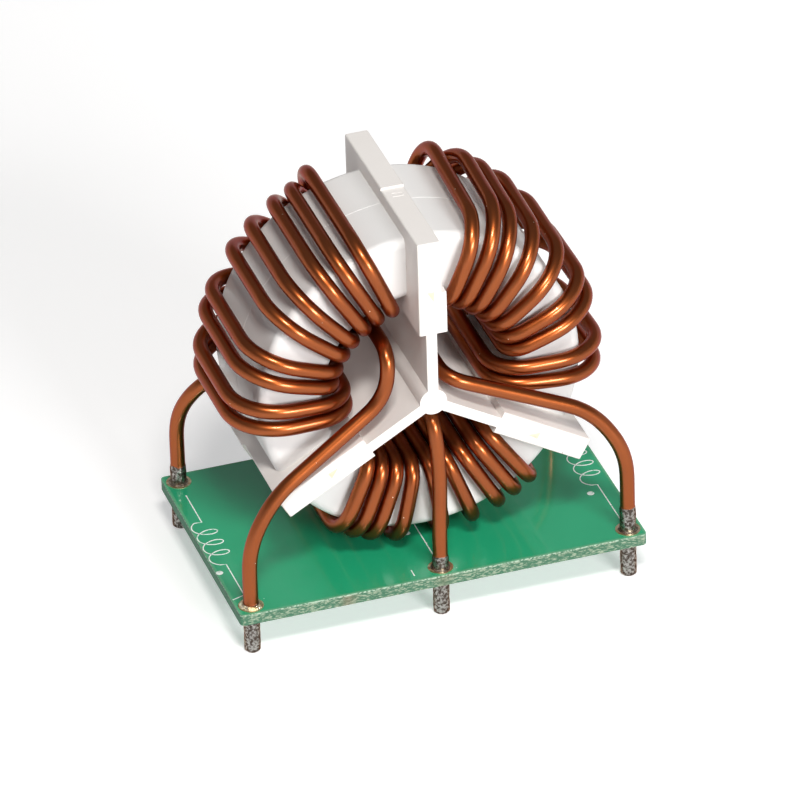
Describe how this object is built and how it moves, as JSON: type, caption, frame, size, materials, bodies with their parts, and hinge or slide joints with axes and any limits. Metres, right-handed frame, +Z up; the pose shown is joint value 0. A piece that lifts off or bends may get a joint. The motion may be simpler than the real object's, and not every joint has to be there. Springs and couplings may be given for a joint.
{
  "type": "toroidal inductor",
  "caption": "Upright toroidal choke: wire coils round a white ring case, kept apart by an armed separator, on a green board with pins below.",
  "frame": {"origin": "on the surface that the pins stand on, under the middle of the board", "axes": "+X along the board's long edge, -Y towards the front face of the ring, +Z up, away from the pins' tips"},
  "size_m": [0.07, 0.045, 0.0698],
  "materials": {
    "board_laminate": "glossy green solder mask on a glass fibre laminate",
    "core_ferrite": "matt dark grey sintered ferrite",
    "case_plastic": "white moulded plastic, satin",
    "separator_plastic": "white moulded plastic, satin",
    "enamelled_wire": "clear enamel over copper, glossy; bright tin on the ends",
    "plated_copper": "gold coloured plating",
    "solder_metal": "bright solder"
  },
  "bodies": {
    "root": {"circuit_board": "board_laminate", "core_ring": "core_ferrite", "case_front_shell": "case_plastic", "case_rear_shell": "case_plastic", "separator_front": "separator_plastic", "separator_rear": "separator_plastic", "winding_left": "enamelled_wire", "winding_right": "enamelled_wire", "winding_bottom": "enamelled_wire", "plated_hole_front_left": "plated_copper", "plated_hole_front_middle": "plated_copper", "plated_hole_front_right": "plated_copper", "plated_hole_rear_left": "plated_copper", "plated_hole_rear_middle": "plated_copper", "plated_hole_rear_right": "plated_copper", "solder_front_left": "solder_metal", "solder_front_middle": "solder_metal", "solder_front_right": "solder_metal", "solder_rear_left": "solder_metal", "solder_rear_middle": "solder_metal", "solder_rear_right": "solder_metal"}
  },
  "joints": []
}
